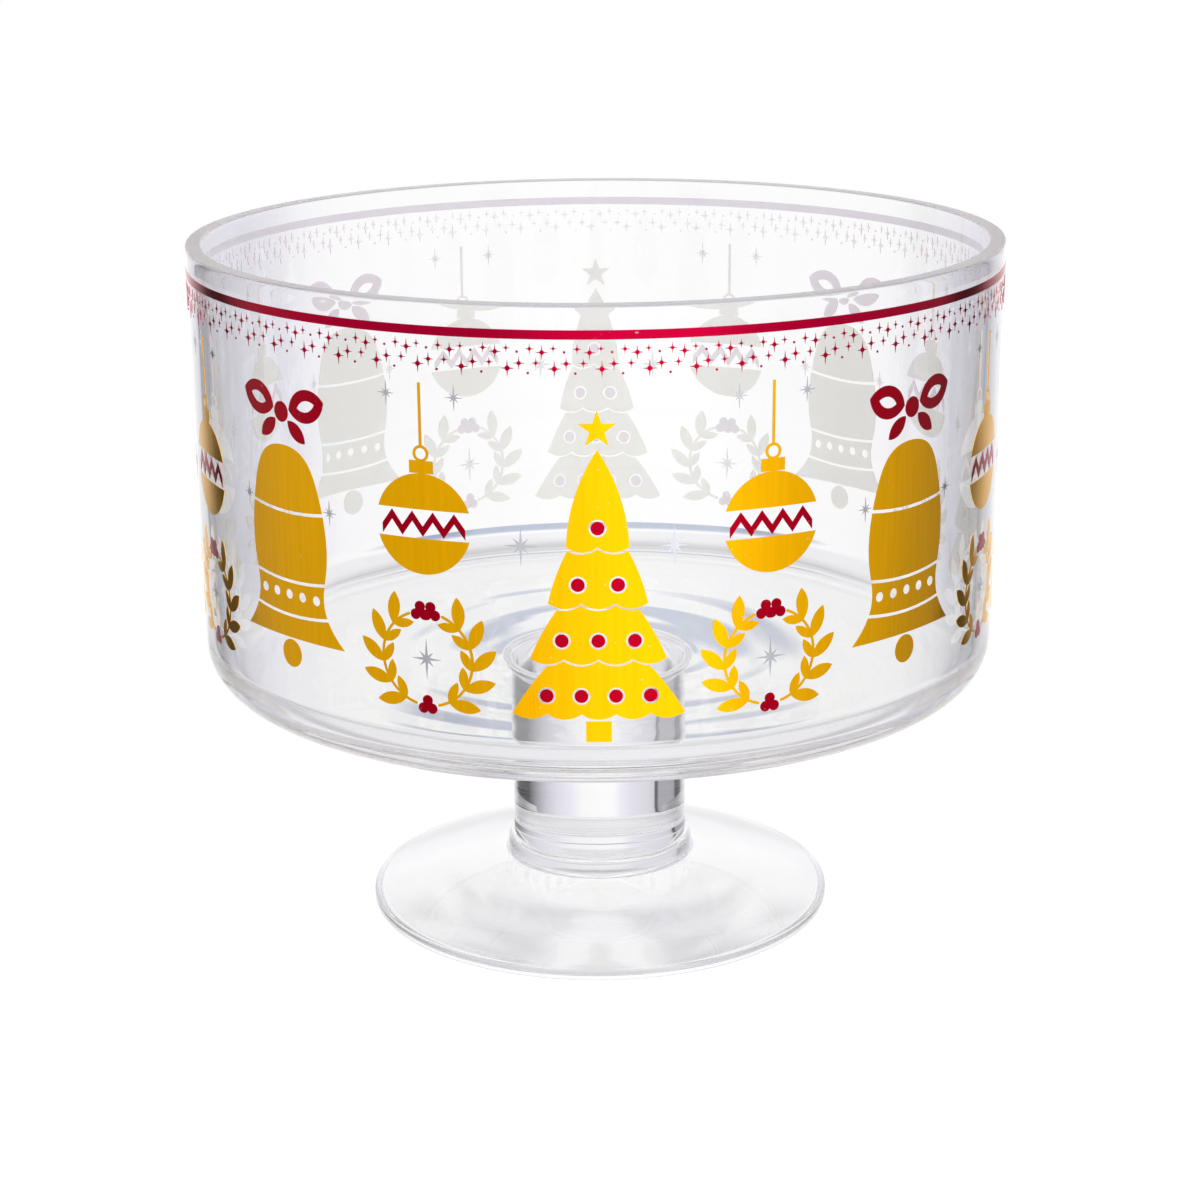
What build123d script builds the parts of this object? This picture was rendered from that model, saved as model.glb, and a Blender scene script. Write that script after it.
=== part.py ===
from build123d import *
import os
from math import cos, pi, radians, sin

# A footed glass trifle bowl: a straight-walled bowl on a solid stem and a domed foot,
# joined by two clear bond films, with foil transfers on the outside of the wall.
# Millimetres, +Z up. The origin is the centre of the foot's resting ring, on the table.

# Bowl
TOTAL_HEIGHT = 182.3
BOWL_HEIGHT = 115.3
RIM_DIAMETER = 210.0
WALL = 4.1
WALL_TAPER = 0.8
RIM_EDGE = 0.6
HEEL_RADIUS = 11.0
FLOOR = 6.0
FLOOR_DISH = 3.5

# Stem, bosses and bond films
STEM_DIAMETER = 47.0
STEM_EDGE = 0.5
BOSS_LEDGE = 1.5
BOSS_EDGE = 1.4
BOSS_ROOT = 1.2
UPPER_BOSS = 2.6
LOWER_BOSS = 4.5
BOND_FILM = 0.15

# Foot
FOOT_DIAMETER = 124.5
FOOT_EDGE = 2.9
FOOT_EDGE_ROUND = 0.9
FOOT_RISE = 10.4
FOOT_SWEEP = 1.6
FOOT_HOLLOW = 5.2
RESTING_RING = 2.6
RING_STEP = 0.7

# Foil transfers
FOIL = 0.15
FOIL_SEAT = 0.02
FOIL_GAP = 0.45
LINE_WIDTH = 0.7

# Stripe and star border under the rim
BAND_DROP = 5.5
BAND_HEIGHT = 2.1
BORDER_PITCH = 10.4
BORDER_HEIGHT = 8.6
BORDER_STAR = 5.0
BORDER_STAR_SIDE = 0.67
BORDER_STAR_WAIST = 0.25

# Figures, in columns between the border and the heel
ZONE_MARGIN = 2.0
COLUMN_GAP = 2.5

# Fir trees
TREE_WIDTH = 40.0
TREE_TIERS = 4
TREE_HEADROOM = 5.0
TIER_OVERLAP = 0.7
TIER_CURVE = 1.6
SCALLOP = 1.3
TRUNK_HEIGHT = 5.0
TRUNK_WIDTH = 6.0
TREE_STAR = 9.0
TREE_STAR_POINTS = 5
TREE_STAR_WAIST = 0.4
TREE_BALL = 3.2
BALL_LEVEL = 0.33
BALL_SPREAD = 0.8

# Bells and their bows
BELL_WIDTH = 36.0
BELL_SHOULDER = 22.5
BELL_WAIST = 26.5
BELL_HEADROOM = 4.0
BELL_LIFT = 9.0
SHOULDER_LEVEL = 0.8
WAIST_LEVEL = 0.4
LIP_LINE_LEVEL = 0.16
DOT_LINE_LEVEL = 0.34
CROWN_LINE_LEVEL = 0.7
BELL_LINE = 0.8
BELL_DOT = 2.4
BELL_DOTS = 5
LINE_SAG = 2.0
CLAPPER = 7.0
BOW_WIDTH = 30.0
BOW_HEIGHT = 15.0
BOW_KNOT = 5.0
BOW_LOOP = 8.0
BOW_LOOP_RISE = 15.0
BOW_TAIL = 3.6
BOW_TAIL_DROP = 40.0

# Baubles
BAUBLE_DIAMETER = 24.0
CAP_WIDTH = 6.0
CAP_HEIGHT = 3.0
LOOP_DIAMETER = 4.0
ZIGZAG_HEIGHT = 6.0
ZIGZAG_LINE = 2.4
ZIGZAGS = 4

# Wreaths
WREATH_WIDTH = 36.0
LEAF_LENGTH = 8.0
LEAF_WIDTH = 3.2
LEAF_PITCH = 5.2
LEAF_SPLAY = 38.0
LEAF_PAIRS = 5
INNER_LEAF = 0.7
BERRY = 2.6

# Silver stars
SILVER_STAR = 10.0
SMALL_SILVER_STAR = 6.0
FLARE_SIDE = 0.77
FLARE_SHORT = 0.5
FLARE_WAIST = 0.17

# Heights and radii of the glass
rim_radius = RIM_DIAMETER / 2
heel_z = TOTAL_HEIGHT - BOWL_HEIGHT
heel_radius = rim_radius - WALL_TAPER
boss_radius = STEM_DIAMETER / 2 + BOSS_LEDGE
bowl_boss_z = heel_z - FLOOR_DISH - UPPER_BOSS
foot_radius = FOOT_DIAMETER / 2
ring_radius = foot_radius - RESTING_RING
foot_boss_z = FOOT_EDGE + FOOT_RISE
foot_top_z = foot_boss_z + LOWER_BOSS
stem_bottom_z = foot_top_z + BOND_FILM
stem_top_z = bowl_boss_z - BOND_FILM

# Heights of the foils
band_top_z = TOTAL_HEIGHT - BAND_DROP
band_bottom_z = band_top_z - BAND_HEIGHT
border_top_z = band_bottom_z - FOIL_GAP
border_bottom_z = border_top_z - BORDER_HEIGHT
zone_top_z = border_bottom_z - ZONE_MARGIN
zone_bottom_z = heel_z + HEEL_RADIUS + ZONE_MARGIN

# Columns of figures go round the wall in the order tree, garland, bell, garland
wall_length = 2 * pi * heel_radius
garland_width = max(WREATH_WIDTH, BAUBLE_DIAMETER)
figure_width = max(TREE_WIDTH, BELL_WIDTH, BOW_WIDTH)
column_pitch = (figure_width + garland_width) / 2 + COLUMN_GAP
repeats = int(wall_length // (4 * column_pitch))
column_angle = 90 / repeats
border_units = int(wall_length // BORDER_PITCH)

# Figures are drawn flat in front of the wall and carried onto it
FRONT = Plane(origin=(0, 0, 0), x_dir=(1, 0, 0), z_dir=(0, -1, 0))
past_wall = rim_radius + FOIL_SEAT + 2 * FOIL

os.makedirs("parts", exist_ok=True)


def wall_radius(z):
    """Radius of the bowl's outside at height z."""
    return heel_radius + WALL_TAPER * (z - heel_z) / BOWL_HEIGHT


def corner(profile, point):
    """The corner of an open profile that lies at a point given as radius and height."""
    return profile.vertices().sort_by_distance(point)[0]


def finish(builder, name):
    """Names a finished piece and writes its file."""
    builder.part.label = name
    export_step(builder.part, f"parts/{name}.step")


# Bowl
boss_rim = (boss_radius, bowl_boss_z)
boss_root = (boss_radius, heel_z - FLOOR_DISH)
heel = (heel_radius, heel_z)
rim_outside = (rim_radius, TOTAL_HEIGHT)
rim_inside = (rim_radius - WALL, TOTAL_HEIGHT)
floor_edge = (heel_radius - WALL, heel_z + FLOOR)
with BuildPart() as bowl:
    with BuildSketch(Plane.XZ) as bowl_profile:
        with BuildLine():
            Polyline(
                (0, bowl_boss_z),
                boss_rim,
                boss_root,
                heel,
                rim_outside,
                rim_inside,
                floor_edge,
                (0, heel_z + FLOOR - FLOOR_DISH),
                close=True,
            )
        make_face()
        fillet(corner(bowl_profile, heel), HEEL_RADIUS)
        fillet(corner(bowl_profile, floor_edge), max(HEEL_RADIUS - WALL, WALL))
        fillet(corner(bowl_profile, boss_root), BOSS_ROOT)
        fillet(corner(bowl_profile, boss_rim), BOSS_EDGE)
        fillet(corner(bowl_profile, rim_outside), RIM_EDGE)
        fillet(corner(bowl_profile, rim_inside), RIM_EDGE)
    revolve(axis=Axis.Z)
finish(bowl, "bowl")

# Stem
with BuildPart() as stem:
    with BuildSketch(Plane.XY.offset(stem_bottom_z)):
        Circle(STEM_DIAMETER / 2)
    extrude(amount=stem_top_z - stem_bottom_z)
    fillet(stem.edges().filter_by(GeomType.CIRCLE), STEM_EDGE)
finish(stem, "stem")

# Foot
foot_rim = (foot_radius, FOOT_EDGE)
foot_root = (boss_radius, foot_boss_z)
foot_boss_rim = (boss_radius, foot_top_z)
with BuildPart() as foot:
    with BuildSketch(Plane.XZ) as foot_profile:
        with BuildLine():
            Polyline((ring_radius, RING_STEP), (ring_radius, 0), (foot_radius, 0), foot_rim)
            SagittaArc(foot_rim, foot_root, -FOOT_SWEEP)
            Polyline(foot_root, foot_boss_rim, (0, foot_top_z), (0, FOOT_HOLLOW))
            TangentArc((0, FOOT_HOLLOW), (ring_radius, RING_STEP), tangent=(1, 0))
        make_face()
        fillet(corner(foot_profile, foot_rim), FOOT_EDGE_ROUND)
        fillet(corner(foot_profile, (foot_radius, 0)), FOOT_EDGE_ROUND)
        fillet(corner(foot_profile, foot_root), BOSS_ROOT)
        fillet(corner(foot_profile, foot_boss_rim), BOSS_EDGE)
    revolve(axis=Axis.Z)
finish(foot, "foot")


def bond(bottom_z):
    """A clear film over one end of the stem, inside the stem's rounded edge."""
    with BuildPart() as film:
        with BuildSketch(Plane.XY.offset(bottom_z)):
            Circle(STEM_DIAMETER / 2 - STEM_EDGE)
        extrude(amount=BOND_FILM)
    return film


finish(bond(foot_top_z), "lower_bond")
finish(bond(stem_top_z), "upper_bond")


def skin(bottom_z, top_z):
    """A ring of foil round the wall between two heights."""
    with BuildPart() as ring:
        with BuildSketch(Plane.XZ):
            back_bottom = wall_radius(bottom_z) + FOIL_SEAT
            back_top = wall_radius(top_z) + FOIL_SEAT
            Polygon(
                (back_bottom, bottom_z),
                (back_bottom + FOIL, bottom_z),
                (back_top + FOIL, top_z),
                (back_top, top_z),
                align=None,
            )
        revolve(axis=Axis.Z)
    return ring


# Stripe under the rim
finish(skin(band_bottom_z, band_top_z), "red_rim_band")
figure_skin = skin(zone_bottom_z - ZONE_MARGIN, border_top_z)


def carried(figure):
    """A flat figure as foil on the front of the wall."""
    with BuildPart() as tile:
        extrude(figure.sketch, amount=past_wall, dir=FRONT.z_dir)
        add(figure_skin.part, mode=Mode.INTERSECT)
    return tile.part


def star(*tips, waist):
    """A star in the open sketch, from the lengths of its tips, the first one up."""
    step = 2 * pi / len(tips)
    points = []
    for place, tip in enumerate(tips):
        turn = pi / 2 + place * step
        points.append((tip * cos(turn), tip * sin(turn)))
        points.append((waist * cos(turn + step / 2), waist * sin(turn + step / 2)))
    Polygon(*points, align=None)


def flare(height):
    """A slim star of eight points, four of them long."""
    tip = height / 2
    star(*(tip, FLARE_SHORT * tip, FLARE_SIDE * tip, FLARE_SHORT * tip) * 2, waist=FLARE_WAIST * tip)


def lens(length, width, setback):
    """A pointed leaf along +X that starts a little way out."""
    base = (setback, 0)
    tip = (setback + length, 0)
    with BuildSketch() as leaf:
        with BuildLine():
            SagittaArc(base, tip, width / 2)
            SagittaArc(tip, base, width / 2)
        make_face()
    return leaf.sketch


def place(x, y, turn):
    """A point of a flat figure, with a turn in degrees."""
    return Locations(Location((x, y, 0), (0, 0, turn)))


# Star border: a ring of slim four-point stars, each flat and square to the wall
border_z = (border_top_z + border_bottom_z) / 2
border_tip = BORDER_STAR / 2
border_face = Plane(
    origin=(0, -wall_radius(border_z) - FOIL_SEAT, border_z),
    x_dir=(1, 0, 0),
    z_dir=(0, -BOWL_HEIGHT, -WALL_TAPER),
)
with BuildPart() as border_star:
    with BuildSketch(border_face):
        star(*(border_tip, BORDER_STAR_SIDE * border_tip) * 2, waist=BORDER_STAR_WAIST * border_tip)
    extrude(amount=FOIL)
with BuildPart() as red_star_border:
    with PolarLocations(0, border_units):
        add(border_star.part, clean=False)
finish(red_star_border, "red_star_border")

# Fir trees: scalloped tiers with a trunk and a top star, hung with red balls
trunk_top_z = zone_bottom_z + TRUNK_HEIGHT
tier_foot_z = trunk_top_z + FOIL_GAP + SCALLOP
tree_top_z = zone_top_z - TREE_HEADROOM
tier_rise = (tree_top_z - TREE_STAR - tier_foot_z) / (TREE_TIERS + TIER_OVERLAP)


def tier_width(tier):
    """Width of a tier at its foot, counted from the lowest one."""
    return TREE_WIDTH * (1 - tier / (TREE_TIERS + TIER_OVERLAP))


def tier_outline(tier, grown):
    """A tier with a scalloped foot, drawn larger all round where it cuts the one below."""
    half = tier_width(tier) / 2 + grown
    foot_z = tier_foot_z + tier * tier_rise - grown
    apex = (0, foot_z + (1 + TIER_OVERLAP) * tier_rise + grown)
    scallops = TREE_TIERS + 1 - tier
    joints = [(half * (2 * joint / scallops - 1), foot_z) for joint in range(scallops + 1)]
    with BuildSketch() as outline:
        with BuildLine():
            for left, right in zip(joints, joints[1:]):
                SagittaArc(left, right, -SCALLOP)
            SagittaArc(joints[-1], apex, -TIER_CURVE)
            SagittaArc(apex, joints[0], -TIER_CURVE)
        make_face()
    return outline.sketch


tree_balls = []
for tier in range(TREE_TIERS):
    balls = TREE_TIERS - tier
    ball_z = tier_foot_z + (tier + BALL_LEVEL) * tier_rise
    ball_pitch = BALL_SPREAD * tier_width(tier) / balls
    for ball in range(balls):
        tree_balls.append(((ball - (balls - 1) / 2) * ball_pitch, ball_z))

with BuildSketch(FRONT) as tree_gold:
    add(tier_outline(0, 0))
    for tier in range(1, TREE_TIERS):
        add(tier_outline(tier, FOIL_GAP), mode=Mode.SUBTRACT)
        add(tier_outline(tier, 0))
    with Locations((0, zone_bottom_z + TRUNK_HEIGHT / 2)):
        Rectangle(TRUNK_WIDTH, TRUNK_HEIGHT)
    with Locations((0, tree_top_z - TREE_STAR / 2)):
        star(*(TREE_STAR / 2,) * TREE_STAR_POINTS, waist=TREE_STAR_WAIST * TREE_STAR / 2)
    with Locations(*tree_balls):
        Circle(TREE_BALL / 2 + FOIL_GAP, mode=Mode.SUBTRACT)
with BuildSketch(FRONT) as tree_red:
    with Locations(*tree_balls):
        Circle(TREE_BALL / 2)
tree_tile = carried(tree_gold)
tree_ball_tile = carried(tree_red)
with BuildPart() as gold_fir_trees:
    with PolarLocations(0, repeats):
        add(tree_tile, clean=False)
finish(gold_fir_trees, "gold_fir_trees")
with BuildPart() as red_tree_balls:
    with PolarLocations(0, repeats):
        add(tree_ball_tile, clean=False)
finish(red_tree_balls, "red_tree_balls")

# Bells: a body cut by curved lines, with a row of cut-out dots and a clapper, under a red bow
bow_z = zone_top_z - BELL_HEADROOM - BOW_HEIGHT / 2
bell_top_z = bow_z - BOW_HEIGHT / 2 - FOIL_GAP
bell_lip_z = zone_bottom_z + BELL_LIFT + CLAPPER + FOIL_GAP
bell_height = bell_top_z - bell_lip_z


def bell_level(share):
    """Height of a level of the bell, as a share of the way from lip to top."""
    return bell_lip_z + share * bell_height


def level_line(share):
    """The curved line across the bell at a level, just past its sides."""
    z = bell_level(share)
    return ThreePointArc((-BELL_WIDTH / 2, z), (0, z - LINE_SAG), (BELL_WIDTH / 2, z))


bell_lines = [level_line(share) for share in (LIP_LINE_LEVEL, DOT_LINE_LEVEL, CROWN_LINE_LEVEL)]
dot_z = bell_level((LIP_LINE_LEVEL + DOT_LINE_LEVEL) / 2) - LINE_SAG / 2
with BuildSketch(FRONT) as bell_gold:
    with BuildLine():
        Spline(
            (0, bell_top_z),
            (BELL_SHOULDER / 2, bell_level(SHOULDER_LEVEL)),
            (BELL_WAIST / 2, bell_level(WAIST_LEVEL)),
            (BELL_WIDTH / 2, bell_lip_z),
            tangents=((1, 0), (1, -1)),
        )
        mirror(about=Plane.YZ)
        Line((-BELL_WIDTH / 2, bell_lip_z), (BELL_WIDTH / 2, bell_lip_z))
    make_face()
    for line in bell_lines:
        SlotArc(line, BELL_LINE, mode=Mode.SUBTRACT)
    with Locations((0, dot_z)):
        with GridLocations(2 * BELL_DOT, 1, BELL_DOTS, 1):
            Circle(BELL_DOT / 2, mode=Mode.SUBTRACT)
    with Locations((0, bell_lip_z - FOIL_GAP - CLAPPER / 2)):
        Circle(CLAPPER / 2)
bow_reach = (BOW_WIDTH - BOW_KNOT) / 2 - FOIL_GAP
knot_clear = BOW_KNOT / 2 + FOIL_GAP
with BuildSketch(FRONT) as bow_red:
    for turn in (BOW_LOOP_RISE, 180 - BOW_LOOP_RISE):
        with place(0, bow_z, turn):
            add(lens(bow_reach, BOW_LOOP, knot_clear))
            add(lens(bow_reach / 2, BOW_LOOP / 3, knot_clear + bow_reach / 4), mode=Mode.SUBTRACT)
    for turn in (-BOW_TAIL_DROP, 180 + BOW_TAIL_DROP):
        with place(0, bow_z, turn):
            add(lens(BOW_HEIGHT / 2, BOW_TAIL, knot_clear))
    with Locations((0, bow_z)):
        Circle(BOW_KNOT / 2)
bell_tile = carried(bell_gold)
bow_tile = carried(bow_red)
with BuildPart() as gold_bells:
    with PolarLocations(0, repeats, start_angle=2 * column_angle):
        add(bell_tile, clean=False)
finish(gold_bells, "gold_bells")
with BuildPart() as red_bows:
    with PolarLocations(0, repeats, start_angle=2 * column_angle):
        add(bow_tile, clean=False)
finish(red_bows, "red_bows")

# Wreaths: two leafy branches in a ring, with berries at the foot and at the tips
leaf_reach = LEAF_LENGTH * sin(radians(LEAF_SPLAY)) + LEAF_WIDTH / 2
wreath_radius = WREATH_WIDTH / 2 - leaf_reach
wreath_z = zone_bottom_z + WREATH_WIDTH / 2
berry_spread = BERRY / 2
cluster_reach = berry_spread + BERRY / 2 + FOIL_GAP
mm_turn = 180 / (pi * wreath_radius)
branch_start = -90 + cluster_reach * mm_turn
branch_sweep = (LEAF_PAIRS + 0.5) * LEAF_PITCH * mm_turn
tip_turn = branch_start + branch_sweep + cluster_reach * mm_turn


def on_wreath(turn):
    """The point of the wreath's ring at a turn in degrees."""
    return (
        wreath_radius * cos(radians(turn)),
        wreath_z + wreath_radius * sin(radians(turn)),
    )


branch = CenterArc((0, wreath_z), wreath_radius, branch_start, branch_sweep)
with BuildSketch(FRONT) as wreath_gold:
    SlotArc(branch, LINE_WIDTH)
    for pair in range(LEAF_PAIRS):
        turn = branch_start + (pair + 0.5) * LEAF_PITCH * mm_turn
        with place(*on_wreath(turn), turn + 90 - LEAF_SPLAY):
            add(lens(LEAF_LENGTH, LEAF_WIDTH, 0))
        with place(*on_wreath(turn), turn + 90 + LEAF_SPLAY):
            add(lens(LEAF_LENGTH * INNER_LEAF, LEAF_WIDTH * INNER_LEAF, 0))
    mirror(about=Plane.YZ)
with BuildSketch(FRONT) as wreath_red:
    with Locations(on_wreath(-90), on_wreath(tip_turn), on_wreath(180 - tip_turn)):
        with PolarLocations(berry_spread, 3, start_angle=90):
            Circle(BERRY / 2)
wreath_tile = carried(wreath_gold)
berry_tile = carried(wreath_red)
with BuildPart() as gold_wreaths:
    with PolarLocations(0, 2 * repeats, start_angle=column_angle):
        add(wreath_tile, clean=False)
finish(gold_wreaths, "gold_wreaths")
with BuildPart() as red_berries:
    with PolarLocations(0, 2 * repeats, start_angle=column_angle):
        add(berry_tile, clean=False)
finish(red_berries, "red_berries")

# Baubles: a ball on a cord from the border, with a red zigzag across it
bauble_z = wreath_z + (WREATH_WIDTH + BAUBLE_DIAMETER) / 2 + COLUMN_GAP
cap_z = bauble_z + BAUBLE_DIAMETER / 2
loop_z = cap_z + CAP_HEIGHT + LOOP_DIAMETER / 2 - LINE_WIDTH / 2
cord_length = zone_top_z - loop_z - LOOP_DIAMETER / 2 + LINE_WIDTH / 2
with BuildSketch(FRONT) as bauble_gold:
    with Locations((0, bauble_z)):
        Circle(BAUBLE_DIAMETER / 2)
        Rectangle(BAUBLE_DIAMETER, ZIGZAG_HEIGHT + 2 * FOIL_GAP, mode=Mode.SUBTRACT)
    with Locations((0, cap_z + CAP_HEIGHT / 2)):
        Rectangle(CAP_WIDTH, CAP_HEIGHT)
    with Locations((0, loop_z)):
        Circle(LOOP_DIAMETER / 2)
        Circle(LOOP_DIAMETER / 2 - LINE_WIDTH, mode=Mode.SUBTRACT)
    with Locations((0, zone_top_z - cord_length / 2)):
        Rectangle(LINE_WIDTH, cord_length)
zigzag_step = (BAUBLE_DIAMETER - ZIGZAG_HEIGHT / 2) / (2 * ZIGZAGS)
zigzag_rise = (ZIGZAG_HEIGHT - ZIGZAG_LINE) / 2
zigzag_line = []
for bend in range(-ZIGZAGS, ZIGZAGS + 1):
    zigzag_line.append((bend * zigzag_step, zigzag_rise if bend % 2 else -zigzag_rise))
zigzag_top = [(x, y + ZIGZAG_LINE / 2) for x, y in zigzag_line]
zigzag_bottom = [(x, y - ZIGZAG_LINE / 2) for x, y in reversed(zigzag_line)]
with BuildSketch(FRONT) as bauble_red:
    with Locations((0, bauble_z)):
        Polygon(*zigzag_top, *zigzag_bottom, align=None)
bauble_tile = carried(bauble_gold)
zigzag_tile = carried(bauble_red)
with BuildPart() as gold_baubles:
    with PolarLocations(0, 2 * repeats, start_angle=column_angle):
        add(bauble_tile, clean=False)
finish(gold_baubles, "gold_baubles")
with BuildPart() as red_zigzags:
    with PolarLocations(0, 2 * repeats, start_angle=column_angle):
        add(zigzag_tile, clean=False)
finish(red_zigzags, "red_zigzags")

# Silver stars: large ones beside each tree and in each wreath, small ones by bells and cords
tree_star_x = TREE_WIDTH / 2 - SILVER_STAR / 4
tree_star_z = tier_foot_z + (TREE_TIERS - 1) * tier_rise
bell_star_x = (BELL_WIDTH - SMALL_SILVER_STAR) / 2
bell_star_z = bell_level(CROWN_LINE_LEVEL)
cord_star_x = (CAP_WIDTH + SMALL_SILVER_STAR) / 2 + COLUMN_GAP
cord_star_z = zone_top_z - SMALL_SILVER_STAR / 2
with BuildSketch(FRONT) as tree_silver:
    with Locations((-tree_star_x, tree_star_z), (tree_star_x, tree_star_z)):
        flare(SILVER_STAR)
with BuildSketch(FRONT) as wreath_silver:
    with Locations((0, wreath_z)):
        flare(SILVER_STAR)
with BuildSketch(FRONT) as bell_silver:
    with Locations((-bell_star_x, bell_star_z), (bell_star_x, bell_star_z)):
        flare(SMALL_SILVER_STAR)
with BuildSketch(FRONT) as cord_silver:
    with Locations((-cord_star_x, cord_star_z), (cord_star_x, cord_star_z)):
        flare(SMALL_SILVER_STAR)
tree_star_tile = carried(tree_silver)
wreath_star_tile = carried(wreath_silver)
bell_star_tile = carried(bell_silver)
cord_star_tile = carried(cord_silver)
with BuildPart() as silver_large_stars:
    with PolarLocations(0, repeats):
        add(tree_star_tile, clean=False)
    with PolarLocations(0, 2 * repeats, start_angle=column_angle):
        add(wreath_star_tile, clean=False)
finish(silver_large_stars, "silver_large_stars")
with BuildPart() as silver_small_stars:
    with PolarLocations(0, repeats, start_angle=2 * column_angle):
        add(bell_star_tile, clean=False)
    with PolarLocations(0, 2 * repeats, start_angle=column_angle):
        add(cord_star_tile, clean=False)
finish(silver_small_stars, "silver_small_stars")
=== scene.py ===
import math
from collections import namedtuple
import bpy
from mathutils import Matrix, Vector


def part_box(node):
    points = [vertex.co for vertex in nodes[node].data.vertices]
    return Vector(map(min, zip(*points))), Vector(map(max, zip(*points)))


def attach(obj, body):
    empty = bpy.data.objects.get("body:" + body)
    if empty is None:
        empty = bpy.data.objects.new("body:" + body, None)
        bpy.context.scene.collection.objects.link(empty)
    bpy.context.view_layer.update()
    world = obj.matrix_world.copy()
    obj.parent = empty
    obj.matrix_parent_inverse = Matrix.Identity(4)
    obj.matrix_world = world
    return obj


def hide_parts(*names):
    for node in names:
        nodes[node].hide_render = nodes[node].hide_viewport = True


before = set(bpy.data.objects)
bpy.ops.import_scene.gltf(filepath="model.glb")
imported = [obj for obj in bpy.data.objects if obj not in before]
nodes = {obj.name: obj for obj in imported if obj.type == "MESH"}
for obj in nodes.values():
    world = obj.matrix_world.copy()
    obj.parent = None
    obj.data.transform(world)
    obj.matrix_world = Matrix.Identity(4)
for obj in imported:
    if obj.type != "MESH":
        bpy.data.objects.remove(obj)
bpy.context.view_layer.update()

MM = 0.001
WHITE = (1.0, 1.0, 1.0)


def low_z(node):
    """Height of a node's lowest point in millimetres."""
    return round(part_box(node)[0].z / MM, 2)


def high_z(node):
    """Height of a node's highest point in millimetres."""
    return round(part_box(node)[1].z / MM, 2)


def out_radius(node):
    """Largest radius of a round node in millimetres."""
    return round(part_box(node)[1].x / MM, 2)


# Bowl, in millimetres
TOTAL_HEIGHT = high_z("bowl")
BOWL_HEIGHT = 115.3
RIM_RADIUS = 105.0
WALL = 4.1
WALL_TAPER = 0.8
RIM_EDGE = 0.6
HEEL_ROUND = 11.0
FLOOR = 6.0
FLOOR_DISH = 3.5
HEEL_WALL_RADIUS = RIM_RADIUS - WALL_TAPER
HEEL_Z = TOTAL_HEIGHT - BOWL_HEIGHT
UNDERSIDE_Z = HEEL_Z - FLOOR_DISH
FLOOR_EDGE_Z = HEEL_Z + FLOOR
FLOOR_MIDDLE_Z = FLOOR_EDGE_Z - FLOOR_DISH

# Stem and bosses
STEM_RADIUS = out_radius("stem")
STEM_EDGE = 0.5
STEM_EDGE_ROUND = 0.475
BOSS_LEDGE = 1.5
BOSS_RADIUS = STEM_RADIUS + BOSS_LEDGE
BOSS_EDGE = 1.4
BOSS_ROOT = 1.2
BOND_FILM = 0.15
UPPER_BOSS_Z = low_z("bowl")
LOWER_BOSS_Z = high_z("foot")

# Foot
FOOT_RADIUS = out_radius("foot")
FOOT_EDGE = 2.9
FOOT_EDGE_ROUND = 0.9
FOOT_RISE = 10.4
FOOT_SWEEP = 1.6
FOOT_HOLLOW = 5.2
RESTING_RING = 2.6
RING_STEP = 0.7
RING_ROUND = 0.25
FOOT_ROOT_Z = FOOT_EDGE + FOOT_RISE
RING_INNER_RADIUS = FOOT_RADIUS - RESTING_RING
HOLLOW_DROP = FOOT_HOLLOW - RING_STEP
HOLLOW_RADIUS = (RING_INNER_RADIUS ** 2 + HOLLOW_DROP ** 2) / (2 * HOLLOW_DROP)

# Fineness of the glass mesh
GLASS_SEGMENTS = 200
HOLLOW_STEPS = 36
DOME_STEPS = 18
ROUND_STEPS = 6
PROFILE_STEP = 1.6

# The visual wall stands this far out, so that the backs of the foils lie in the glass
FOIL_BED = 0.085

# Unevenness of pressed glass, as waves along the section that lobes and sways bend round the axis
Wave = namedtuple("Wave", "height length lobes phase sways", defaults=(math.inf, 0, 0, ()))
Sway = namedtuple("Sway", "lobes size phase", defaults=(0,))
SURFACE_WAVES = {
    "floor": (
        Wave(height=0.015, length=2.3, sways=(Sway(lobes=3, size=1.0), Sway(lobes=5, size=0.6, phase=1))),
        Wave(height=0.0025, length=0.9, sways=(Sway(lobes=3, size=-1.5), Sway(lobes=5, size=-0.9, phase=1))),
        Wave(height=0.06, length=17, lobes=2),
    ),
    "under": (Wave(height=0.012, length=3.1, sways=(Sway(lobes=2, size=0.6, phase=1),)),),
    "dome": (Wave(height=0.03, length=2.0, sways=(Sway(lobes=2, size=0.8),)),),
    "inside": (
        Wave(height=0.03, length=40, lobes=9),
        Wave(height=0.012, lobes=31, phase=2),
        Wave(height=0.02, length=9, sways=(Sway(lobes=2, size=2.0),)),
    ),
}
FADING_SURFACES = ("floor", "under")
FADE_IN = 12.0
FADE_OUT = 18.0
FADE_END = 92.0


def new_piece(name, points, faces):
    mesh = bpy.data.meshes.new(name)
    mesh.from_pydata(points, [], faces)
    mesh.update()
    piece = bpy.data.objects.new(name, mesh)
    bpy.context.scene.collection.objects.link(piece)
    return piece


# Glass body
def sagitta_arc(start, end, sagitta, steps):
    """Points of an arc that bulges to the right of the way from start to end."""
    chord = Vector(end) - Vector(start)
    half = chord.length / 2
    radius = (half * half + sagitta * sagitta) / (2 * sagitta)
    along = chord.normalized()
    across = Vector((along.y, -along.x))
    middle = (Vector(start) + Vector(end)) / 2 - across * (radius - sagitta)
    sweep = math.asin(half / radius)
    points = []
    for step in range(steps + 1):
        turn = -sweep + 2 * sweep * step / steps
        points.append(middle + along * (radius * math.sin(turn)) + across * (radius * math.cos(turn)))
    return points


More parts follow.
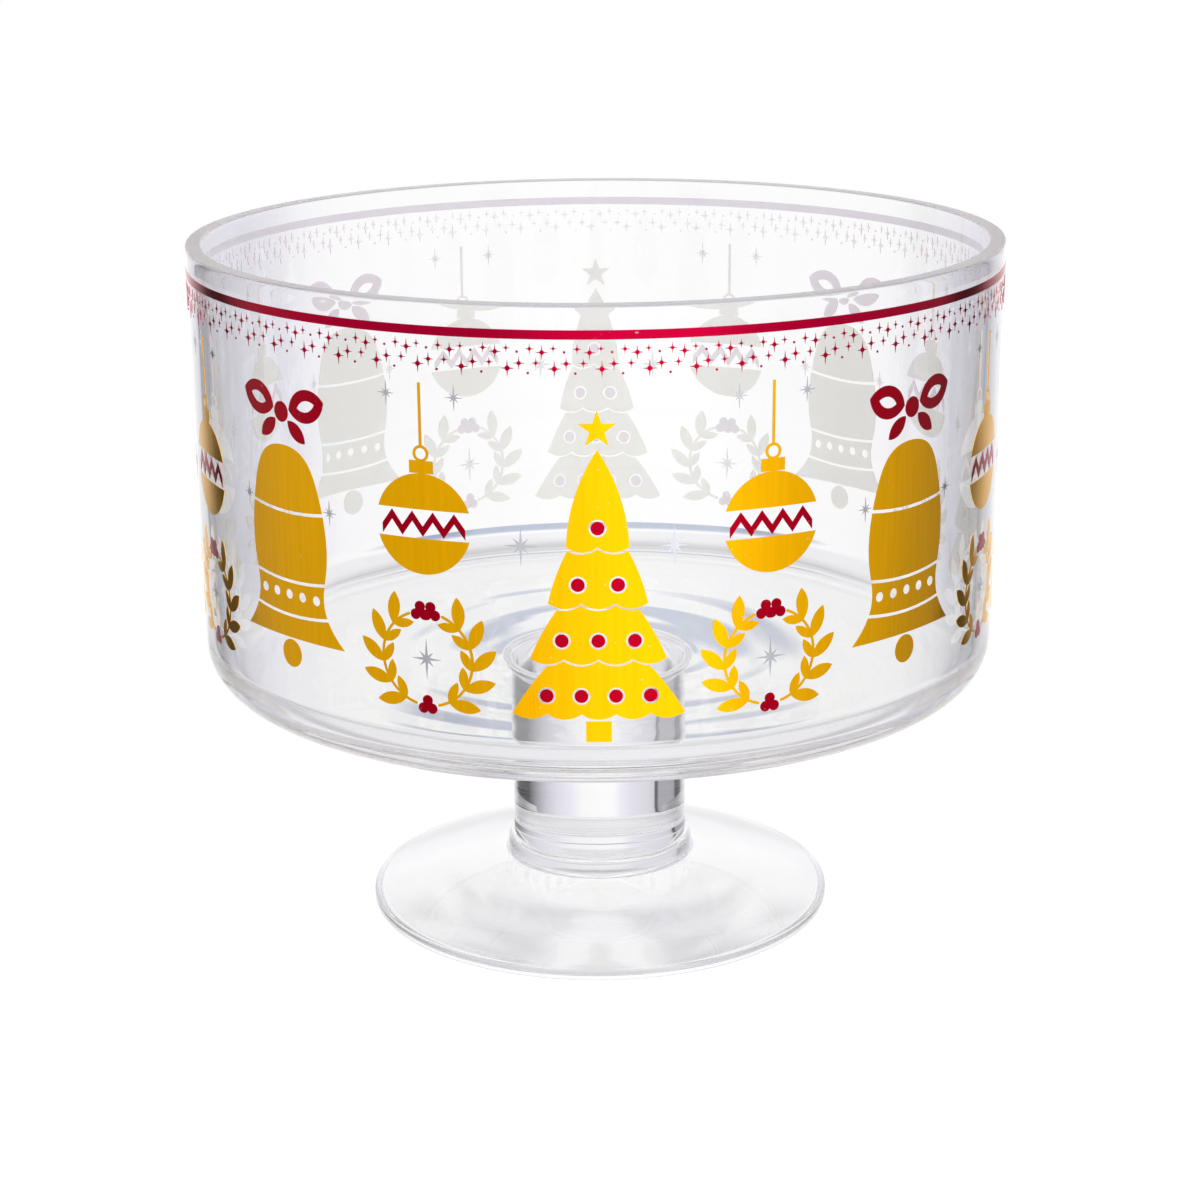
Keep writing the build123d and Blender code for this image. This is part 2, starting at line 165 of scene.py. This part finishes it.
def rounded(before, corner, after, radius):
    """Points of a round that takes the place of a corner."""
    to_before = (Vector(before) - Vector(corner)).normalized()
    to_after = (Vector(after) - Vector(corner)).normalized()
    half = math.acos(max(-1.0, min(1.0, to_before.dot(to_after)))) / 2
    setback = radius / math.tan(half)
    centre = Vector(corner) + (to_before + to_after).normalized() * (radius / math.sin(half))
    first = Vector(corner) + to_before * setback - centre
    last = Vector(corner) + to_after * setback - centre
    start = math.atan2(first.y, first.x)
    sweep = math.remainder(math.atan2(last.y, last.x) - start, 2 * math.pi)
    steps = math.ceil(radius) + ROUND_STEPS
    points = []
    for step in range(steps + 1):
        turn = start + sweep * step / steps
        points.append(centre + radius * Vector((math.cos(turn), math.sin(turn))))
    return points


def hollow_corners():
    """The hollow under the foot, from its middle to the resting ring."""
    corners = []
    for step in range(HOLLOW_STEPS + 1):
        radius = RING_INNER_RADIUS * step / HOLLOW_STEPS
        sink = HOLLOW_RADIUS - math.sqrt(HOLLOW_RADIUS ** 2 - radius ** 2)
        corners.append((radius, FOOT_HOLLOW - sink, 0, "hollow"))
    return corners


def foot_corners():
    """The resting ring, the edge and the dome of the foot."""
    corners = [
        (RING_INNER_RADIUS, 0, RING_ROUND, "ring"),
        (FOOT_RADIUS, 0, FOOT_EDGE_ROUND, "ring"),
    ]
    dome = sagitta_arc((FOOT_RADIUS, FOOT_EDGE), (BOSS_RADIUS, FOOT_ROOT_Z), FOOT_SWEEP, DOME_STEPS)
    end_rounds = {0: FOOT_EDGE_ROUND, DOME_STEPS: BOSS_ROOT}
    for step, point in enumerate(dome):
        corners.append((point.x, point.y, end_rounds.get(step, 0), "dome"))
    return corners


def stem_corners():
    """The stem between its two bosses, with a groove at each bond."""
    groove = STEM_RADIUS - STEM_EDGE
    stem_bottom = LOWER_BOSS_Z + BOND_FILM
    stem_top = UPPER_BOSS_Z - BOND_FILM
    return [
        (BOSS_RADIUS, LOWER_BOSS_Z, BOSS_EDGE, "boss"),
        (groove, LOWER_BOSS_Z, 0, "boss"),
        (groove, stem_bottom, 0, "boss"),
        (STEM_RADIUS, stem_bottom, STEM_EDGE_ROUND, "stem"),
        (STEM_RADIUS, stem_top, STEM_EDGE_ROUND, "stem"),
        (groove, stem_top, 0, "boss"),
        (groove, UPPER_BOSS_Z, 0, "boss"),
        (BOSS_RADIUS, UPPER_BOSS_Z, BOSS_EDGE, "boss"),
    ]


def bowl_corners():
    """The underside, heel, wall, rim and inside of the bowl, to the middle of its floor."""
    return [
        (BOSS_RADIUS, UNDERSIDE_Z, BOSS_ROOT, "under"),
        (HEEL_WALL_RADIUS + FOIL_BED, HEEL_Z, HEEL_ROUND, "outside"),
        (RIM_RADIUS + FOIL_BED, TOTAL_HEIGHT, RIM_EDGE, "rim"),
        (RIM_RADIUS - WALL, TOTAL_HEIGHT, RIM_EDGE, "inside"),
        (HEEL_WALL_RADIUS - WALL, FLOOR_EDGE_Z, HEEL_ROUND - WALL, "floor"),
        (0, FLOOR_MIDDLE_Z, 0, "floor"),
    ]


def rounded_path(corners):
    """The half section, with rounds in place of its corners."""
    path = []
    for place, (radius, z, rounding, surface) in enumerate(corners):
        if rounding:
            before = corners[place - 1][:2]
            after = corners[place + 1][:2]
            for point in rounded(before, (radius, z), after, rounding):
                path.append((point.x, point.y, surface))
        else:
            path.append((radius, z, surface))
    return path


def divided_path(path):
    """The half section with its long runs divided, so that the waves have points to move."""
    fine = [path[0]]
    for start, end in zip(path, path[1:]):
        length = math.hypot(end[0] - start[0], end[1] - start[1])
        pieces = max(1, math.ceil(length / PROFILE_STEP))
        for piece in range(1, pieces + 1):
            share = piece / pieces
            radius = start[0] + share * (end[0] - start[0])
            z = start[1] + share * (end[1] - start[1])
            fine.append((radius, z, end[2] if piece == pieces else start[2]))
    return fine


def unevenness(surface, place, turn):
    """Sum of a surface's waves at a place along its section and a turn round the axis."""
    total = 0.0
    for wave in SURFACE_WAVES.get(surface, ()):
        bend = sum(sway.size * math.sin(sway.lobes * turn + sway.phase) for sway in wave.sways)
        total += wave.height * math.sin(place / wave.length + wave.lobes * turn + wave.phase + bend)
    return total


def ripple(radius, z, turn, surface):
    """How far the unevenness moves a point of the glass out and up."""
    if surface == "inside":
        return unevenness(surface, z, turn), 0.0
    fade = 1.0
    if surface in FADING_SURFACES:
        fade = max(0.0, min(1.0, radius / FADE_IN, (FADE_END - radius) / FADE_OUT))
    return 0.0, fade * unevenness(surface, radius, turn)


def glass_body():
    """Bowl, bonds, stem and foot turned as one body, which light passes through without a false joint."""
    corners = hollow_corners() + foot_corners() + stem_corners() + bowl_corners()
    profile = divided_path(rounded_path(corners))
    points = []
    for radius, z, surface in profile[1:-1]:
        for segment in range(GLASS_SEGMENTS):
            turn = 2 * math.pi * segment / GLASS_SEGMENTS
            out, up = ripple(radius, z, turn, surface)
            reach = (radius + out) * MM
            points.append((reach * math.cos(turn), reach * math.sin(turn), (z + up) * MM))
    bottom = len(points)
    points.append((0, 0, profile[0][1] * MM))
    top = len(points)
    points.append((0, 0, profile[-1][1] * MM))
    faces = []
    rows = len(profile) - 2
    for segment in range(GLASS_SEGMENTS):
        after = (segment + 1) % GLASS_SEGMENTS
        faces.append((bottom, after, segment))
        for row in range(rows - 1):
            low = row * GLASS_SEGMENTS
            high = low + GLASS_SEGMENTS
            faces.append((low + segment, low + after, high + after, high + segment))
        last = (rows - 1) * GLASS_SEGMENTS
        faces.append((last + segment, last + after, top))
    piece = new_piece("glass_body", points, faces)
    piece.data.polygons.foreach_set("use_smooth", [True] * len(piece.data.polygons))
    return piece


# Border of small stars and dots, as a repeat of unit share, drop below the border's top, height and width
BORDER_GAP = 0.45
BORDER_TOP_Z = low_z("red_rim_band") - BORDER_GAP
BORDER_UNITS = 62
BORDER_STARS = (
    (0.10, 1.7, 2.7, 2.2),
    (0.36, 2.5, 3.5, 2.9),
    (0.23, 4.9, 2.4, 2.1),
    (0.62, 6.2, 4.2, 3.3),
    (0.87, 5.0, 3.3, 2.7),
    (0.60, 1.6, 2.0, 1.8),
)
BORDER_DOTS = ((0.83, 2.4, 0.6), (0.06, 7.2, 0.6))
STAR_HEART = 0.36
HEART_SHARES = (0.17, 0.39, 0.61, 0.83)
DOT_SIDES = 12
FOIL_BACK = 0.02
FOIL_FRONT = 0.16


def star_outline(height, width):
    """A four-pointed spark with a round heart."""
    heart = STAR_HEART * width / 2
    outline = []
    for quarter in range(4):
        tip = height / 2 if quarter % 2 == 0 else width / 2
        axis = math.pi / 2 + quarter * math.pi / 2
        outline.append((tip * math.cos(axis), tip * math.sin(axis)))
        for share in HEART_SHARES:
            turn = axis + share * math.pi / 2
            outline.append((heart * math.cos(turn), heart * math.sin(turn)))
    return outline


def dot_outline(width):
    outline = []
    for side in range(DOT_SIDES):
        turn = 2 * math.pi * side / DOT_SIDES
        outline.append((width / 2 * math.cos(turn), width / 2 * math.sin(turn)))
    return outline


def wall_radius(z):
    return HEEL_WALL_RADIUS + WALL_TAPER * (z - HEEL_Z) / BOWL_HEIGHT


def star_border():
    """Flat foil marks on the wall, each with a back, a front and sides."""
    marks = [(share, drop, star_outline(height, width)) for share, drop, height, width in BORDER_STARS]
    marks += [(share, drop, dot_outline(width)) for share, drop, width in BORDER_DOTS]
    points = []
    faces = []
    for unit in range(BORDER_UNITS):
        for share, drop, outline in marks:
            z = BORDER_TOP_Z - drop
            turn = 2 * math.pi * (unit + share) / BORDER_UNITS
            out = Vector((math.cos(turn), math.sin(turn), 0))
            side = Vector((-out.y, out.x, 0))
            first = len(points)
            count = len(outline)
            for depth in (FOIL_BACK, FOIL_FRONT):
                for x, y in outline:
                    point = out * (wall_radius(z) + depth) + side * x + Vector((0, 0, z + y))
                    points.append(point * MM)
            faces.append([first + count + k for k in range(count)])
            faces.append([first + k for k in reversed(range(count))])
            for k in range(count):
                after = (k + 1) % count
                faces.append((first + k, first + after, first + count + after, first + count + k))
    return new_piece("star_border", points, faces)


# Nodes of materials and of the studio
def new_material(name):
    material = bpy.data.materials.new(name)
    material.use_nodes = True
    tree = material.node_tree
    return material, tree, tree.nodes["Principled BSDF"]


def math_node(tree, operation, first, second=None):
    node = tree.nodes.new("ShaderNodeMath")
    node.operation = operation
    for socket, value in zip(node.inputs, (first, second)):
        if value is None:
            continue
        if isinstance(value, (int, float)):
            socket.default_value = value
        else:
            tree.links.new(value, socket)
    return node.outputs[0]


def vector_node(tree, operation, first):
    node = tree.nodes.new("ShaderNodeVectorMath")
    node.operation = operation
    tree.links.new(first, node.inputs[0])
    return node


def mix_colour(tree, factor, first, second):
    node = tree.nodes.new("ShaderNodeMix")
    node.data_type = "RGBA"
    sockets = (node.inputs[0], node.inputs[6], node.inputs[7])
    for socket, value in zip(sockets, (factor, first, second)):
        if isinstance(value, tuple):
            socket.default_value = (*value, 1.0)
        else:
            tree.links.new(value, socket)
    return node.outputs[2]


def map_range(tree, value, span, to_low=0.0, to_high=1.0):
    node = tree.nodes.new("ShaderNodeMapRange")
    tree.links.new(value, node.inputs["Value"])
    node.inputs["From Min"].default_value = span[0]
    node.inputs["From Max"].default_value = span[1]
    node.inputs["To Min"].default_value = to_low
    node.inputs["To Max"].default_value = to_high
    return node.outputs["Result"]


def noise(tree, scale, detail, stretch=(1, 1, 1)):
    place = tree.nodes.new("ShaderNodeTexCoord")
    mapping = tree.nodes.new("ShaderNodeMapping")
    mapping.inputs["Scale"].default_value = stretch
    tree.links.new(place.outputs["Object"], mapping.inputs["Vector"])
    node = tree.nodes.new("ShaderNodeTexNoise")
    node.inputs["Scale"].default_value = scale
    node.inputs["Detail"].default_value = detail
    tree.links.new(mapping.outputs["Vector"], node.inputs["Vector"])
    return node.outputs["Fac"]


# Clear glass, with a satin rim and a satin zone under the foot; the rim is also tinted grey-mauve as painted
# shade
GLASS_IOR = 1.5
GLASS_TINT = (0.02, 0.0, 0.14)
GLASS_DENSITY = 0.9
HAZE = 0.004
HAZE_SCALE = 18
HAZE_DETAIL = 3
HAZE_SPAN = (0.35, 0.75)
RIM_SATIN = 0.35
# Grey-mauve painted shade that darkens the rim to a band
RIM_PAINTED_SHADE = (0.50, 0.49, 0.53)
HOLLOW_SATIN = 0.11
HOLLOW_SKIN = 0.8
SATIN_BLEND = 6.5


def hollow_satin(tree, xyz):
    """Roughness of the foot's underside, outside the clear middle below the stem."""
    square_x = math_node(tree, "MULTIPLY", xyz["X"], xyz["X"])
    square_y = math_node(tree, "MULTIPLY", xyz["Y"], xyz["Y"])
    square = math_node(tree, "ADD", square_x, square_y)
    sink = math_node(tree, "DIVIDE", square, 2 * HOLLOW_RADIUS * MM)
    crown = math_node(tree, "ADD", xyz["Z"], sink)
    hollow = math_node(tree, "LESS_THAN", crown, (FOOT_HOLLOW + HOLLOW_SKIN) * MM)
    zone = ((STEM_RADIUS * MM) ** 2, ((STEM_RADIUS + SATIN_BLEND) * MM) ** 2)
    return math_node(tree, "MULTIPLY", hollow, map_range(tree, square, zone, 0.0, HOLLOW_SATIN))


def glass_material():
    material, tree, shader = new_material("clear_glass")
    shader.inputs["Transmission Weight"].default_value = 1.0
    shader.inputs["IOR"].default_value = GLASS_IOR
    geometry = tree.nodes.new("ShaderNodeNewGeometry")
    separate = tree.nodes.new("ShaderNodeSeparateXYZ")
    tree.links.new(geometry.outputs["Position"], separate.inputs[0])
    xyz = separate.outputs
    rim = map_range(tree, xyz["Z"], ((TOTAL_HEIGHT - RIM_EDGE) * MM, TOTAL_HEIGHT * MM))
    rim_satin = math_node(tree, "MULTIPLY", rim, RIM_SATIN)
    satin = math_node(tree, "MAXIMUM", rim_satin, hollow_satin(tree, xyz))
    haze = map_range(tree, noise(tree, HAZE_SCALE, HAZE_DETAIL), HAZE_SPAN, 0.0, HAZE)
    tree.links.new(math_node(tree, "MAXIMUM", haze, satin), shader.inputs["Roughness"])
    # Painted shade: the base colour turns grey-mauve on the rim
    tree.links.new(mix_colour(tree, rim, WHITE, RIM_PAINTED_SHADE), shader.inputs["Base Color"])
    absorb = tree.nodes.new("ShaderNodeVolumeAbsorption")
    absorb.inputs["Color"].default_value = (*GLASS_TINT, 1)
    absorb.inputs["Density"].default_value = GLASS_DENSITY
    tree.links.new(absorb.outputs["Volume"], tree.nodes["Material Output"].inputs["Volume"])
    return material


# Foils: a brushed metallic front with pinholes, and a pale matt back that shows through the glass
GOLD = (1.0, 0.49, 0.002)
GOLD_BACK = (0.86, 0.865, 0.835)
RED = (0.42, 0.001, 0.014)
RED_BACK = (0.80, 0.76, 0.81)
STRIPE_RED = (0.44, 0.001, 0.030)
STRIPE_BACK = (0.80, 0.77, 0.83)
BORDER_BACK = (0.93, 0.91, 0.95)
SILVER = (0.56, 0.56, 0.61)
SILVER_BACK = (0.80, 0.80, 0.83)
FOIL_ROUGHNESS = 0.16
SILVER_ROUGHNESS = 0.22
BACK_ROUGHNESS = 0.6
BACK_FACING = -0.5
STREAK_SCALE = 1.0
STREAK_STRETCH = (900, 900, 40)
STREAK_DETAIL = 5
STREAK_SPAN = (0.35, 0.7)
STREAK_LEVEL = 0.93
PINHOLE_SCALE = 900
PINHOLE_DETAIL = 1
PINHOLE_SPAN = (0.765, 0.79)
PINHOLE_STRENGTH = 0.45
PINHOLE_SHARE = 0.5
PINHOLE_LIFT = 0.4
CLOUD_SCALE = 60
CLOUD_DETAIL = 3
CLOUD_SPAN = (0.3, 0.7)
SMOOTHER = 0.03
ROUGHER = 0.05
BRUSH_STRENGTH = 0.05
BRUSH_DEPTH = 0.0003


def back_of_foil(tree):
    """One where the foil faces the glass, and zero elsewhere."""
    geometry = tree.nodes.new("ShaderNodeNewGeometry")
    flat = vector_node(tree, "MULTIPLY", geometry.outputs["Position"])
    flat.inputs[1].default_value = (1, 1, 0)
    outward = vector_node(tree, "NORMALIZE", flat.outputs["Vector"])
    facing = vector_node(tree, "DOT_PRODUCT", outward.outputs["Vector"])
    tree.links.new(geometry.outputs["Normal"], facing.inputs[1])
    return math_node(tree, "LESS_THAN", facing.outputs["Value"], BACK_FACING)


def front_of_foil(tree, streaks, colour):
    """The foil's colour with brush streaks and pale pinholes."""
    dim = tuple(STREAK_LEVEL * channel for channel in colour)
    brushed = mix_colour(tree, map_range(tree, streaks, STREAK_SPAN), colour, dim)
    specks = noise(tree, PINHOLE_SCALE, PINHOLE_DETAIL)
    pinholes = map_range(tree, specks, PINHOLE_SPAN, 0.0, PINHOLE_STRENGTH)
    pale = tuple(PINHOLE_SHARE * channel + PINHOLE_LIFT for channel in colour)
    return mix_colour(tree, pinholes, brushed, pale)


def foil_material(name, front, back, roughness):
    material, tree, shader = new_material(name)
    inside = back_of_foil(tree)
    streaks = noise(tree, STREAK_SCALE, STREAK_DETAIL, STREAK_STRETCH)
    colour = mix_colour(tree, inside, front_of_foil(tree, streaks, front), back)
    tree.links.new(colour, shader.inputs["Base Color"])
    tree.links.new(math_node(tree, "SUBTRACT", 1.0, inside), shader.inputs["Metallic"])
    cloud = noise(tree, CLOUD_SCALE, CLOUD_DETAIL)
    grain = map_range(tree, cloud, CLOUD_SPAN, roughness - SMOOTHER, roughness + ROUGHER)
    matt = math_node(tree, "MULTIPLY", inside, BACK_ROUGHNESS)
    tree.links.new(math_node(tree, "MAXIMUM", grain, matt), shader.inputs["Roughness"])
    bump = tree.nodes.new("ShaderNodeBump")
    bump.inputs["Strength"].default_value = BRUSH_STRENGTH
    bump.inputs["Distance"].default_value = BRUSH_DEPTH
    tree.links.new(streaks, bump.inputs["Height"])
    tree.links.new(bump.outputs["Normal"], shader.inputs["Normal"])
    return material


gold_foil = foil_material("gold_foil", GOLD, GOLD_BACK, FOIL_ROUGHNESS)
red_foil = foil_material("red_foil", RED, RED_BACK, FOIL_ROUGHNESS)
rim_foil = foil_material("rim_foil", STRIPE_RED, STRIPE_BACK, FOIL_ROUGHNESS)
border_foil = foil_material("border_foil", STRIPE_RED, BORDER_BACK, FOIL_ROUGHNESS)
silver_foil = foil_material("silver_foil", SILVER, SILVER_BACK, SILVER_ROUGHNESS)

# Pieces of the scene, and the finish of the frame's own foils
glass = glass_body()
glass.data.materials.append(glass_material())
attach(glass, "root")
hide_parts("bowl", "stem", "foot", "upper_bond", "lower_bond")

border = star_border()
border.data.materials.append(border_foil)
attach(border, "root")
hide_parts("red_star_border")

FINISHES = (("gold_", gold_foil), ("red_", red_foil), ("red_rim", rim_foil), ("silver_", silver_foil))
for name, node in nodes.items():
    for prefix, material in FINISHES:
        if name.startswith(prefix):
            node.data.materials.clear()
            node.data.materials.append(material)

# Camera, as the photo was taken
PHOTO_WIDTH = 1200
FOCAL_PIXELS = 2663.8
SHIFT_PIXELS = 1.96
SENSOR_WIDTH = 36.0
CAMERA_BACK = 0.6867
CAMERA_HEIGHT = 0.2883
CAMERA_PITCH = 0.2903
CAMERA_ROLL = -0.0075
CLIP_START = 0.01
camera_data = bpy.data.cameras.new("camera")
camera_data.sensor_width = SENSOR_WIDTH
camera_data.lens = SENSOR_WIDTH * FOCAL_PIXELS / PHOTO_WIDTH
camera_data.shift_x = SHIFT_PIXELS / PHOTO_WIDTH
camera_data.clip_start = CLIP_START
camera = bpy.data.objects.new("camera", camera_data)
bpy.context.scene.collection.objects.link(camera)
aim = Matrix.Rotation(math.pi / 2 - CAMERA_PITCH, 4, "X") @ Matrix.Rotation(CAMERA_ROLL, 4, "Z")
camera.matrix_world = Matrix.Translation((0, -CAMERA_BACK, CAMERA_HEIGHT)) @ aim
bpy.context.scene.camera = camera

# Stage: a white table that only the camera and the soft light meet
TABLE_RADIUS = 0.25
TABLE_SEGMENTS = 128
TABLE_SHADE = 0.20
TABLE_GLOW = 0.82


def table_material():
    """White with a faint shadow under the foot."""
    material, _, shader = new_material("table")
    shader.inputs["Base Color"].default_value = (TABLE_SHADE, TABLE_SHADE, TABLE_SHADE, 1)
    shader.inputs["Roughness"].default_value = 1.0
    shader.inputs["Specular IOR Level"].default_value = 0.0
    shader.inputs["Emission Color"].default_value = (TABLE_GLOW, TABLE_GLOW, TABLE_GLOW, 1)
    shader.inputs["Emission Strength"].default_value = 1.0
    return material


table_edge = []
for step in range(TABLE_SEGMENTS):
    turn = 2 * math.pi * step / TABLE_SEGMENTS
    table_edge.append((TABLE_RADIUS * math.cos(turn), TABLE_RADIUS * math.sin(turn), 0))
table = new_piece("table", table_edge, [list(range(TABLE_SEGMENTS))])
table.visible_glossy = False
table.visible_transmission = False
table.data.materials.append(table_material())

# Studio: white to the camera, with bright and dark parts for what the foil and the glass show
world = bpy.data.worlds.new("studio")
bpy.context.scene.world = world
world.use_nodes = True
sky = world.node_tree
way = sky.nodes.new("ShaderNodeTexCoord").outputs["Generated"]
axes = sky.nodes.new("ShaderNodeSeparateXYZ")
sky.links.new(way, axes.inputs[0])
height = axes.outputs["Z"]
toward_camera = math_node(sky, "MULTIPLY", axes.outputs["Y"], -1.0)
azimuth = math_node(sky, "ARCTAN2", axes.outputs["X"], toward_camera)
round_share = map_range(sky, azimuth, (-math.pi, math.pi))
rays = sky.nodes.new("ShaderNodeLightPath").outputs
SHADE_START = 0.97


def level_ramp(share, stops, tint):
    """Brightness by place along a run of stops, with a cast of colour in the shade."""
    ramp = sky.nodes.new("ShaderNodeValToRGB")
    elements = ramp.color_ramp.elements
    while len(elements) < len(stops):
        elements.new(0.5)
    for element, (position, level) in zip(elements, stops):
        cast = tint if level < SHADE_START else WHITE
        element.position = position
        element.color = (*(level * channel for channel in cast), 1)
    sky.links.new(share, ramp.inputs["Fac"])
    return ramp.outputs["Color"]


def studio_level(stops, tint=WHITE):
    """Brightness round the studio, by degrees from the camera's side that count up to its right."""
    return level_ramp(round_share, [(degrees / 360 + 0.5, level) for degrees, level in stops], tint)


# Soft light on matt surfaces
AMBIENT = 1.06
KEY = 1.0
KEY_AZIMUTH = 12.0
KEY_ELEVATION = 26.0
KEY_EDGE = (0.80, 0.94)


def key_light():
    """Plain soft light from the camera's side and above, over an even level."""
    flat = math.cos(math.radians(KEY_ELEVATION))
    nearness = vector_node(sky, "DOT_PRODUCT", way)
    nearness.inputs[1].default_value = (
        flat * math.sin(math.radians(KEY_AZIMUTH)),
        -flat * math.cos(math.radians(KEY_AZIMUTH)),
        math.sin(math.radians(KEY_ELEVATION)),
    )
    return map_range(sky, nearness.outputs["Value"], KEY_EDGE, AMBIENT, AMBIENT + KEY)


# What the foil mirrors
FRONT_SHINE = 1.5
HORIZON_SHINE = 0.3
HORIZON_Z = (-0.30, -0.17)
SHINE_STOPS = (
    (-180, 0.67), (-165, 0.67), (-147, 0.40), (-136, 0.04), (-125, 0.04), (-112, 0.33), (-95, 0.41),
    (-66, 0.43), (-32, 0.47), (-19, 0.66), (-8, 0.85), (6, 1.0), (30, 1.0), (42, 0.66), (53, 0.56),
    (67, 0.48), (82, 0.43), (96, 0.32), (110, 0.27), (118, 0.04), (130, 0.04), (143, 0.40), (165, 0.67),
)


def shine():
    """Bright and dark parts round the studio, brighter near the horizon than lower down."""
    scaled = vector_node(sky, "SCALE", studio_level(SHINE_STOPS))
    level = map_range(sky, height, HORIZON_Z, FRONT_SHINE, FRONT_SHINE + HORIZON_SHINE)
    sky.links.new(level, scaled.inputs["Scale"])
    return scaled.outputs["Vector"]


# What the glass shows, with heights on the unit sphere
THROUGH_STOPS = (
    (-180, 1.0), (-173.5, 0.99), (-170, 0.93), (-164, 0.85), (-153, 0.76), (-150, 0.66),
    (-149.4, 0.03), (-147.9, 0.03), (-147.2, 0.42), (-129, 0.40), (-127, 0.08), (-117, 0.08),
    (-114, 0.35), (-104, 0.75), (-60, 0.9), (0, 1.0), (60, 0.9), (100, 0.75), (108, 0.30), (112, 0.02),
    (134, 0.02), (137, 0.12), (143, 0.34), (150, 0.60), (158, 0.82), (166, 0.94), (172, 0.99),
)
SHADE_TINT = (0.92, 0.91, 1.0)
OVERHEAD_Z = (0.0, 0.10)
LOW_Z = (-0.386, -0.374)
LOW_STOPS = ((-1.0, 0.86), (-0.74, 0.86), (-0.63, 0.60), (-0.52, 0.62), (-0.44, 0.88), (-0.38, 0.90))
LOW_TINT = (0.98, 0.97, 1.0)
GAP_STOPS = ((-180, 0.9), (-172, 0.8), (-164, 0.25), (-152, 0.0), (152, 0.0), (164, 0.25), (172, 0.8))
GAP_COLOUR = (0.06, 0.07, 0.11)
GAP_FOOT_Z = (0.06, 0.12)
GAP_HEAD_Z = (0.20, 0.27)
GAP_HEAD_SHARE = 0.4
GAP_END_Z = (0.40, 0.46)
POOL_HALF_AZIMUTH = 5.0
POOL_Z = -0.343
POOL_HALF_Z = 0.027
POOL_FADE = (0.50, 1.20)
POOL_ENDS = (0.55, 0.85)
POOL_COLOUR = (0.48, 0.53, 0.66)
POOL_END_COLOUR = (0.16, 0.21, 0.36)
ONE_WALL_DEPTH = 2.5


def low_level():
    """Brightness of the studio well below the horizon."""
    share = map_range(sky, height, (-1.0, 0.0))
    return level_ramp(share, [(stop + 1, level) for stop, level in LOW_STOPS], LOW_TINT)


def pool_of_shade(level):
    """A blue-grey patch low at the back, darker at its ends, seen through more than one wall."""
    off_middle = math_node(sky, "SUBTRACT", math.pi, math_node(sky, "ABSOLUTE", azimuth))
    across = math_node(sky, "DIVIDE", off_middle, math.radians(POOL_HALF_AZIMUTH))
    upward = math_node(sky, "DIVIDE", math_node(sky, "SUBTRACT", height, POOL_Z), POOL_HALF_Z)
    spread = sky.nodes.new("ShaderNodeCombineXYZ")
    sky.links.new(math_node(sky, "MULTIPLY", across, across), spread.inputs["X"])
    sky.links.new(math_node(sky, "MULTIPLY", upward, upward), spread.inputs["Y"])
    reach = vector_node(sky, "LENGTH", spread.outputs["Vector"])
    pool = map_range(sky, reach.outputs["Value"], POOL_FADE, 1.0, 0.0)
    walls = math_node(sky, "GREATER_THAN", rays["Transmission Depth"], ONE_WALL_DEPTH)
    colour = mix_colour(sky, map_range(sky, across, POOL_ENDS), POOL_COLOUR, POOL_END_COLOUR)
    return mix_colour(sky, math_node(sky, "MULTIPLY", pool, walls), level, colour)


def gap_behind():
    """How far a dark gap covers the studio, above the horizon at the back."""
    foot = map_range(sky, height, GAP_FOOT_Z)
    head = map_range(sky, height, GAP_HEAD_Z, 1.0, GAP_HEAD_SHARE)
    end = map_range(sky, height, GAP_END_Z, 1.0, 0.0)
    gap = math_node(sky, "MULTIPLY", math_node(sky, "MULTIPLY", foot, head), end)
    return math_node(sky, "MULTIPLY", gap, studio_level(GAP_STOPS))


def seen_through_glass():
    """Dark sides low down, an even top and a dark gap at the back."""
    level = pool_of_shade(studio_level(THROUGH_STOPS, SHADE_TINT))
    level = mix_colour(sky, map_range(sky, height, OVERHEAD_Z), level, WHITE)
    level = mix_colour(sky, map_range(sky, height, LOW_Z, 1.0, 0.0), level, low_level())
    return mix_colour(sky, gap_behind(), level, GAP_COLOUR)


# Each kind of ray gets its own view of the studio, and matt surfaces only the soft light
NO_BOUNCE = 0.5
direct = math_node(sky, "LESS_THAN", rays["Diffuse Depth"], NO_BOUNCE)
refracted = math_node(sky, "MULTIPLY", rays["Is Transmission Ray"], direct)
mirrored = math_node(sky, "MULTIPLY", rays["Is Glossy Ray"], direct)
seen = mix_colour(sky, mirrored, key_light(), shine())
seen = mix_colour(sky, refracted, seen, seen_through_glass())
seen = mix_colour(sky, rays["Is Camera Ray"], seen, WHITE)
sky.links.new(seen, sky.nodes["Background"].inputs["Color"])

# Light is followed through the many walls of the glass
LIGHT_BOUNCES = 64
bpy.context.scene.cycles.max_bounces = LIGHT_BOUNCES
bpy.context.scene.cycles.transmission_bounces = LIGHT_BOUNCES
bpy.context.scene.cycles.glossy_bounces = LIGHT_BOUNCES
bpy.context.scene.cycles.blur_glossy = 0.0
bpy.context.scene.view_settings.view_transform = "Standard"
